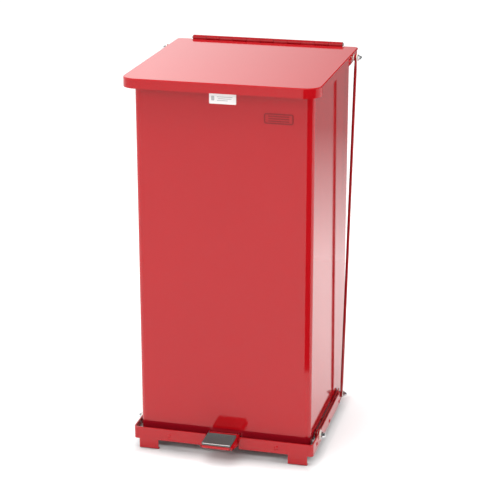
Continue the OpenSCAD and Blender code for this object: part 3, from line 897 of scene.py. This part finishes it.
def makePedal():
    k = pedalLook
    low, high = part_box("pedal_plate")
    t, r = k["tread"], k["bend"]
    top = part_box("pedal_pad")[0].z - 0.05 * mm
    quarter = r * math.pi / 2
    side = high.x - r
    down = side + quarter
    backY = frontY - k["backGap"]
    lipRun = r * math.pi / 2 + k["lip"] - r

    def drop(z):  # place across the flat sheet that ends up at height z
        return down + top - r - z

    hubU, hubV = drop(axle.z), axle.y
    right = [(side - 0.5 * mm, low.y - lipRun + r), (side - 0.5 * mm, low.y + r * 0.4)]
    right += [(side + quarter * 0.5, low.y + 0.2 * mm), (drop(top - k["lip"]), low.y)]
    right += [(drop(top - 19 * mm), frontY - 14 * mm)]
    right += [(hubU + k["hub"] * math.cos(a), hubV + k["hub"] * math.sin(a))
              for a in angles(-20, 160, 9)]
    right += [(hubU - k["hub"], hubV), (down - 0.6 * mm, hubV - 22 * mm), (down - 0.6 * mm, backY + 3 * mm),
              (side - 2 * mm, backY)]
    outline = right + [(-u, v) for u, v in reversed(right)]
    holes = [circle(s * hubU, hubV, axleBore, 28) for s in (1, -1)]
    sheet = blank(outline, holes, t)
    fold(sheet, 1, low.y + r, -1, 90, r, 6)
    for s in (1, -1):
        fold(sheet, 0, s * side, s, 90, r, 8)
    piece("pedalPlate", sheet, redPaint, "pedal", "pedal_plate",
          Matrix.Translation((0, 0, top)), edge=0.4 * mm)

    low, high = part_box("pedal_pad")
    c, border = k["padCorner"], k["padBorder"]

    def ring(inset, z):
        outline = roundRect(low.x + inset, low.y + inset, high.x - inset, high.y - inset,
                            max(c - inset, 0.4 * mm), 5)
        return [(x, y, z) for x, y in outline]

    pad = bmesh.new()
    soft, dish = 0.5 * mm, k["padDish"]
    rows = loft(pad, [ring(0, low.z), ring(0, high.z - soft), ring(soft * 0.3, high.z - soft * 0.3),
                      ring(soft, high.z), ring(border, high.z), ring(border + 0.4 * mm, high.z - dish)])
    pad.faces.new(rows[0])
    pad.faces.new(rows[-1])
    piece("pedalPad", pad, greyRubber, "pedal", "pedal_pad", edge=0, smooth=50)

    # bright plated strip set into the pad's front edge: a painted highlight, put there for the bright line
    # along that edge
    outline = roundRect(low.x + c, high.z - k["highlightStripTall"], high.x - c * 0.4, high.z - 0.1 * mm, 0.5 * mm, 4)
    piece("padHighlightStrip", blank(outline, [], k["highlightStrip"]), plated, "pedal", "pedal_pad",
          facingFront(low.y - 0.2 * mm), edge=0.2 * mm)


makePedal()
print("pedal made")


# lever arms, axle, bushes
armLook = {
    "hub": 11 * mm,
    "high": 12 * mm,
    "slotHalf": 4.8 * mm,
    "slotFront": 8.4 * mm,
    "slotBack": 0.4 * mm,
    "slotRise": 1.5 * mm,
    "axle": 5 * mm,
    "bushLength": 5.5 * mm,
    "bushFlange": 9.5 * mm,
    "bushSleeve": 7.4 * mm,
}


def makeLevers():
    k = armLook
    low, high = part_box("lever_arm_right")
    endY, endZ = rodFoot.y, rodFoot.z
    hub, slot = k["hub"], k["slotHalf"]
    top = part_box("base_frame")[0].z + railLook["high"] - 1 * mm
    bottom = top - k["high"]
    frontHub = endY - k["slotFront"] + 2 * mm
    reachTop = math.degrees(math.asin((top - axle.z) / hub))
    reachLow = math.degrees(math.asin((axle.z - bottom) / hub))
    outline = arc(axle.y, axle.z, hub, reachTop, 360 - reachLow, 20)
    lowStart = math.degrees(math.asin((bottom - endZ) / hub))
    outline += arc(frontHub, endZ, hub, 180 - lowStart, 270, 8)
    outline += arc(endY, endZ, hub, -90, 90, 14)
    slotZ = endZ + k["slotRise"]
    hole = (arc(endY + k["slotBack"], slotZ, slot, -90, 90, 10)
            + arc(endY - k["slotFront"], slotZ, slot, 90, 270, 10))
    for side in ("right", "left"):
        arm = blank(outline, [circle(axle.y, axle.z, axleBore, 28), hole], high.x - low.x)
        piece("leverArm" + side.title(), arm, redPaint, "pedal", "lever_arm_" + side,
              facingRight(high.x), mirror=side == "left", edge=0.4 * mm)

    bar = bmesh.new()
    low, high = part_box("pivot_axle")
    r, length, bevel = k["axle"], high.x - low.x, 0.6 * mm
    turned(bar, [(r - bevel, 0), (r, bevel), (r, length - bevel), (r - bevel, length)],
           (low.x, axle.y, axle.z), (1, 0, 0), 32)
    piece("pivotAxle", bar, plated, "pedal", "pivot_axle", edge=0)

    low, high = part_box("axle_bushes")
    bushes = bmesh.new()
    flange, sleeve, length, e = k["bushFlange"], k["bushSleeve"], k["bushLength"], 0.3 * mm
    section = [(axleBore, e), (axleBore + e, 0), (flange - e, 0), (flange, e),
               (flange, 1.6 * mm), (sleeve, 1.6 * mm), (sleeve, 4.25 * mm), (flange, 4.25 * mm),
               (flange, length - e), (flange - e, length), (axleBore + e, length), (axleBore, length - e)]
    for s in (1, -1):
        turnedRing(bushes, section, (s * (high.x - length), axle.y, axle.z), (s, 0, 0), 32)
    piece("axleBushes", bushes, nylon, "can", "axle_bushes", edge=0)


makeLevers()
print("levers and axle made")


# bolts, spacers, washers and cap nuts
fixingLook = {
    "shank": 3 * mm,
    "upperHead": (5.5 * mm, 3 * mm),
    "lowerHead": (5.6 * mm, 1.2 * mm),
    "lowerWasher": 7.5 * mm,
    "upperNut": (6.8 * mm, 5.2 * mm, 9 * mm),
    "axleNut": (8 * mm, 6.8 * mm, 9 * mm),
    "lowerNut": (6.5 * mm, 5 * mm, 8 * mm),
}


# cap nut: flange radius, radius across the hexagon's corners, height
def hexCap(bm, origin, side, flange, across, tall):
    axis, e = (side, 0, 0), 0.3 * mm
    turned(bm, [(flange - e, 0), (flange, e), (flange, 3 * e), (flange - e, 4 * e)], origin, axis, 32)
    dome = across * 0.92
    hexTop = tall - dome
    section = [(across, 1.0 * mm), (across, hexTop - 0.5 * mm), (across * 0.93, hexTop)]
    rows = loft(bm, spun(section, origin, axis, 6, 12))
    bm.faces.new(rows[-1])
    bm.faces.new(rows[0])
    profile = [(dome * 0.9, hexTop - 0.2 * mm)]
    profile += [(dome * 0.9 * math.cos(a), hexTop + dome * math.sin(a)) for a in angles(0, 90, 9)]
    turned(bm, profile, origin, axis, 28)


def boltShape(node, head, spot):
    low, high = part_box(node)
    bm = bmesh.new()
    wide, thick = head
    r, length, e = fixingLook["shank"], high.x - low.x - thick, 0.4 * mm
    turned(bm, [(wide - e, 0), (wide, e), (wide, thick)], (low.x, spot.y, spot.z), (1, 0, 0), 28)
    profile = [(r, 0), (r, length - e), (r - 0.5 * mm, length)]
    turned(bm, profile, (low.x + thick, spot.y, spot.z), (1, 0, 0), 24)
    return bm


def ringPair(name, node, body, bore, spot):
    low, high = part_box(node)
    r = (high.z - low.z) / 2
    pair = bmesh.new()
    inner = min(v.co.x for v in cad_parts[node].data.vertices if v.co.x > 0)
    section = washerProfile(bore, r, high.x - inner, 0.3 * mm)
    for s in (1, -1):
        turnedRing(pair, section, (s * inner, spot.y, spot.z), (s, 0, 0), 32)
    piece(name, pair, nylon, body, node, edge=0)


def capPair(name, node, body, spot, sizes):
    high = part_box(node)[1]
    caps = bmesh.new()
    for s in (1, -1):
        hexCap(caps, (s * (high.x - sizes[2]), spot.y, spot.z), s, *sizes)
    piece(name, caps, chrome, body, node, edge=0, smooth=30)


def makeFixings():
    k = fixingLook
    ringPair("upperSpacers", "upper_spacers", "lid", boltBore, rodTop)
    ringPair("upperWashers", "upper_washers", "lid", boltBore, rodTop)
    ringPair("axleWashers", "axle_washers", "pedal", axleBore, axle)
    capPair("upperCapNuts", "upper_cap_nuts", "lid", rodTop, k["upperNut"])
    capPair("axleCapNuts", "axle_cap_nuts", "pedal", axle, k["axleNut"])
    for side, s in (("right", 1), ("left", -1)):
        rod, ending = "rod_" + side, side.title()
        bolt = boltShape("upper_bolt_right", k["upperHead"], rodTop)
        piece("upperBolt" + ending, bolt, plated, "lid", "upper_bolt_" + side,
              mirror=s < 0, edge=0)
        bolt = boltShape("lower_bolt_right", k["lowerHead"], rodFoot)
        piece("lowerBolt" + ending, bolt, plated, rod, "lower_bolt_" + side,
              mirror=s < 0, edge=0)
        low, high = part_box("lower_washer_right")
        ring = bmesh.new()
        section = washerProfile(boltBore, k["lowerWasher"], high.x - low.x, 0.3 * mm)
        turnedRing(ring, section, (s * low.x, rodFoot.y, rodFoot.z), (s, 0, 0), 32)
        piece("lowerWasher" + ending, ring, nylon, rod, "lower_washer_" + side, edge=0)
        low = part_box("lower_cap_nut_right")[0]
        cap = bmesh.new()
        hexCap(cap, (s * low.x, rodFoot.y, rodFoot.z), s, *k["lowerNut"])
        piece("lowerCapNut" + ending, cap, chrome, rod, "lower_cap_nut_" + side,
              edge=0, smooth=30)


makeFixings()
print("fixings made")


# push rods: round bar forged flat into an eye at each end
rodLook = {
    "bar": 3 * mm,
    "eye": 7 * mm,
    "eyeThick": 5 * mm,
    "broad": 5.2 * mm,
    "flattened": ((4 * mm, 1.0), (10 * mm, 0.85), (18 * mm, 0.4), (26 * mm, 0.0)),
}


def makeRods():
    k = rodLook
    low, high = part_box("push_rod_right")
    r, halfThick = k["bar"], k["eyeThick"] / 2
    top = Vector((high.x - halfThick, rodTop.y, rodTop.z))
    foot = Vector((low.x + halfThick, rodFoot.y, rodFoot.z))
    run = top - foot
    length = run.length
    up = run.normalized()
    across = up.cross(Vector((1, 0, 0))).normalized()
    out = across.cross(up).normalized()
    # distance along the rod and how far it is flattened there
    marks = list(k["flattened"])
    stations = marks + [(length / 2, 0.0)] + [(length - d, f) for d, f in reversed(marks)]
    loops = []
    for d, flat in stations:
        thin = r * (1 - flat) + (halfThick - 0.2 * mm) * flat
        broad = r * (1 - flat) + k["broad"] * flat
        centre = foot + up * d
        loops.append([centre + out * thin * math.cos(a) + across * broad * math.sin(a)
                      for a in angles(0, 360, 20)[:-1]])
    section = washerProfile(boltBore, k["eye"], k["eyeThick"], 0.6 * mm)
    for side in ("right", "left"):
        bar = bmesh.new()
        rows = loft(bar, loops)
        bar.faces.new(rows[0])
        bar.faces.new(rows[-1])
        for centre in (top, foot):
            turnedRing(bar, section, centre - Vector((halfThick, 0, 0)), (1, 0, 0), 36)
        piece("pushRod" + side.title(), bar, shadedBarPaint, "rod_" + side, "push_rod_" + side,
              mirror=side == "left", edge=0)


makeRods()
print("rods made")


# liner: drawn bucket with a rolled rim and two hand holes
linerLook = {
    "corner": 14 * mm,
    "bottomBend": 7 * mm,
    "sheet": 1.2 * mm,
    "rimOut": 2.5 * mm,
    "rimHeight": 6 * mm,
    "gripHalf": 46 * mm,
    "gripLow": 690 * mm,
    "gripRadius": 13 * mm,
}


def makeLiner():
    k = linerLook
    low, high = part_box("liner")
    halfX = high.x - k["rimOut"]
    halfY = (high.y - low.y) / 2 - k["rimOut"]
    centreY = (high.y + low.y) / 2
    b = k["bottomBend"]
    side = [(b * (1 - math.sin(a)), low.z + b * (1 - math.cos(a))) for a in angles(0, 90, 6)]
    rimZ = high.z - k["rimHeight"] / 2
    heights = (low.z + 90 * mm, low.z + 380 * mm, high.z - 110 * mm, high.z - k["rimHeight"])
    side += [(0, z) for z in heights]

    def loop(inset, z):
        x1, y1 = halfX - inset, halfY - inset
        outline = roundRect(-x1, -y1, x1, y1, max(k["corner"] - inset, 2 * mm), 8)
        return [(x, y + centreY, z) for x, y in outline]

    bm = bmesh.new()
    rows = loft(bm, [loop(inset, z) for inset, z in side])
    bm.faces.new(rows[0])
    bucket = placed("walls", meshFrom("walls", bm))
    skin = bucket.modifiers.new("sheet", 'SOLIDIFY')
    skin.thickness = k["sheet"]

    # both hand holes are cut by one bar right across
    grip, past = k["gripRadius"], 20 * mm
    wide, z0 = k["gripHalf"], k["gripLow"]
    outline = roundRect(-wide, z0, wide, z0 + 2 * grip, grip - 0.1 * mm, 8)
    cutter = blank(outline, [], 2 * (halfX + past))
    cutter.transform(stand((halfX + past, centreY, 0), (0, 1, 0), (0, 0, 1)))
    cut = placed("cut", meshFrom("cut", cutter))
    hole = bucket.modifiers.new("holes", 'BOOLEAN')
    hole.object = cut
    hole.solver = 'EXACT'
    made = bucket.evaluated_get(bpy.context.evaluated_depsgraph_get())
    drawn = bpy.data.meshes.new_from_object(made)
    bpy.data.objects.remove(bucket)
    bpy.data.objects.remove(cut)
    whole = bmesh.new()
    whole.from_mesh(drawn)

    rim = bmesh.new()
    half, out = k["rimHeight"] / 2, k["rimOut"]
    section = [(max(0.2 * mm - out / 2 + (out / 2 + 0.9 * mm) * math.cos(a), -out), rimZ + half * math.sin(a))
               for a in angles(0, 360, 14)[:-1]]
    loft(rim, [loop(inset, z) for inset, z in section], closed=True)
    piece("linerBucket", joined(whole, rim), zinc, "can", "liner", edge=0, smooth=35)


makeLiner()
print("liner made")


# label with its grey blocks, and the mark on the front
labelLook = {"corner": 1.5 * mm, "ink": 0.04 * mm, "block": (4, 10), "rows": ((15, 45), (17, 43), (15, 36))}
badgeLook = {"corner": 4 * mm, "line": 2.2 * mm, "bars": 3, "half": 20 * mm, "bar": 0.8 * mm,
             "pitch": 4.6 * mm}


def makeFrontMarks():
    k = labelLook
    low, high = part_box("front_label")
    plate = blank(roundRect(low.x, low.z, high.x, high.z, k["corner"], 5), [], high.y - low.y)
    piece("frontLabel", plate, vinyl, "can", "front_label", facingFront(low.y),
          edge=0.12 * mm)
    start, end = (low.x + v * mm for v in k["block"])
    ink = [blank(roundRect(start, low.z + 6 * mm, end, high.z - 5 * mm, 1.5 * mm, 4), [], k["ink"])]
    for line, ends in enumerate(k["rows"]):
        z = high.z - (6.5 + 3.4 * line) * mm
        start, end = (low.x + v * mm for v in ends)
        ink.append(blank(roundRect(start, z - 0.6 * mm, end, z + 0.6 * mm, 0.5 * mm, 3), [], k["ink"]))
    piece("labelInk", joined(*ink), inkGrey, "can", "front_label",
          facingFront(low.y - 0.03 * mm), edge=0)

    k = badgeLook
    low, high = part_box("front_badge")
    t, line, c = high.y - low.y, k["line"], k["corner"]
    inner = roundRect(low.x + line, low.z + line, high.x - line, high.z - line, c - line, 6)
    parts = [blank(roundRect(low.x, low.z, high.x, high.z, c, 6), [inner], t)]
    centre, half, r = (low + high) / 2, k["half"], k["bar"]
    for i in range(k["bars"]):
        z = centre.z + (i - (k["bars"] - 1) / 2) * k["pitch"]
        bar = roundRect(centre.x - half, z - r, centre.x + half, z + r, r * 0.95, 5)
        parts.append(blank(bar, [], t))
    # the badge takes the darker paint, painted shade for its relief
    piece("frontBadge", joined(*parts), shadedPaint, "can", "front_badge", facingFront(low.y))


makeFrontMarks()
print("front marks made")

# the inner floor is the one carried part of the frame
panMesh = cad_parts["floor_pan"].data
panMesh.materials.clear()
panMesh.materials.append(redPaint)


# studio
studio = {
    "floorSize": 14.0,
    "brightSky": 1.35,
    "dimSky": 0.45,
    "cardLight": 1.5,
    "cardDim": 0.6,
    "sideLight": 1.50,
    "sideDim": 0.34,
    "ceiling": 0.25,
    "screenRadius": 0.45,
    "screenHeight": 0.80,
    "floorGlow": 0.44,
    "farGlow": 0.70,
    # softboxes: place, height aimed at, width, power
    "boxes": {
        "frontBox": ((-1.4, -2.6, 1.7), 0.4, 1.8, 28.0),
        "rightBox": ((2.6, -0.5, 1.3), 0.4, 1.2, 35.0),
        "topBox": ((-0.3, -0.3, 3.0), 0.0, 2.4, 90.0),
    },
}


# flat panel of the studio from four corners
def panel(name, points, material):
    bm = bmesh.new()
    bm.faces.new([bm.verts.new(p) for p in points])
    mesh = meshFrom(name, bm)
    mesh.materials.append(material)
    made = placed(name, mesh)
    return made


# upright card between two feet, seen in reflections only
def card(name, a, b, low, high, material):
    made = panel(name, [(*a, low), (*b, low), (*b, high), (*a, high)], material)
    for ray in ("camera", "diffuse", "shadow", "transmission"):
        setattr(made, "visible_" + ray, False)


def makeSky():
    k = studio
    world = bpy.data.worlds.new("studioWorld")
    world.use_nodes = True
    sky = Graph(world.node_tree)
    way = sky.node("TexCoord", output="Generated")
    side = sky.node("VectorMath", {"operation": 'DOT_PRODUCT'}, {0: way, 1: (0.90, -0.25, 0.0)}, output=1)
    glow = sky.fade(side, 0.05, 0.75, k["brightSky"], k["dimSky"])
    above = sky.fade(sky.axis(way, 2), 0.45, 0.70, 1.0, k["ceiling"])
    background = sky.tree.nodes["Background"]
    background.inputs["Color"].default_value = (1, 1, 1, 1)
    sky.feed(background.inputs["Strength"], glow * above)
    bpy.context.scene.world = world


def makeStudio():
    k = studio
    half = k["floorSize"] / 2
    s = Surface("studioFloorPaper", Roughness=0.9, Specular_IOR_Level=0.1, Emission_Strength=1.0)
    s.set(Base_Color=s.blendColour(s.noise(2.0), (0.60, 0.60, 0.60, 1), (0.63, 0.63, 0.63, 1)))
    behind, across = s.along(1), s.along(0)
    away = across.calc('MAXIMUM', across.calc('ABSOLUTE', across), behind.calc('ABSOLUTE', behind))
    # painted shadow: the floor's glow fades out close to the can and is gone under it, darkening the floor
    # there as its contact shadow
    clear = s.fade(away, 0.165, 0.20)  # no glow under the can
    s.set(Emission_Color=s.grey(s.fade(behind, 0.0, 1.3, k["floorGlow"], k["farGlow"]) * clear))
    square = ((-half, -half), (half, -half), (half, half), (-half, half))
    panel("studioFloor", [(x, y, -0.2 * mm) for x, y in square], s.material)

    # the lid and the body's side mirror these two
    s = Surface("studioCard", Roughness=1.0, Emission_Strength=1.0, Base_Color=(0, 0, 0, 1))
    s.set(Emission_Color=s.grey(s.fade(s.along(0), -1.0, -0.15, k["cardLight"], k["cardDim"])))
    card("backCard", (-3.2, 2.5), (0.6, 2.5), 0.55, 2.6, s.material)
    s = Surface("sideCardPaper", Roughness=1.0, Emission_Strength=1.0, Base_Color=(0, 0, 0, 1))
    s.set(Emission_Color=s.grey(s.fade(s.along(2), 0.02, 0.38, k["sideLight"], k["sideDim"])))
    card("sideCard", (0.25, 1.0), (0.80, 1.0), 0.02, 0.62, s.material)

    # dark screens round the front right corner give its dark line
    s = Surface("studioScreen", Roughness=1.0, Specular_IOR_Level=0.0)
    s.set(Base_Color=s.blendColour(s.noise(3.0), (0.010, 0.010, 0.010, 1), (0.014, 0.014, 0.014, 1)))
    reach = k["screenRadius"]
    feet = [(halfWide + math.sin(a) * reach, frontY - math.cos(a) * reach)
            for a in angles(-10, 80, 5)]
    for i, (a, b) in enumerate(zip(feet, feet[1:])):
        card("darkScreen" + str(i), a, b, 0, k["screenHeight"], s.material)
    card("cornerScreen", (0.3, 1.5), (1.5, 1.5), 0.62, 2.0, s.material)


def makeLamps():
    for name, (place, aimHeight, width, power) in studio["boxes"].items():
        data = bpy.data.lights.new(name, 'AREA')
        data.size = width
        data.energy = power
        lamp = placed(name, data)
        lamp.location = place
        back = Vector(place) - Vector((0, 0, aimHeight))
        lamp.rotation_euler = back.to_track_quat('Z', 'Y').to_euler()
        lamp.visible_glossy = False


makeCamera()
makeSky()
makeStudio()
makeLamps()
view = bpy.context.scene.view_settings
view.view_transform = 'Standard'
view.look = 'None'
print("studio made")
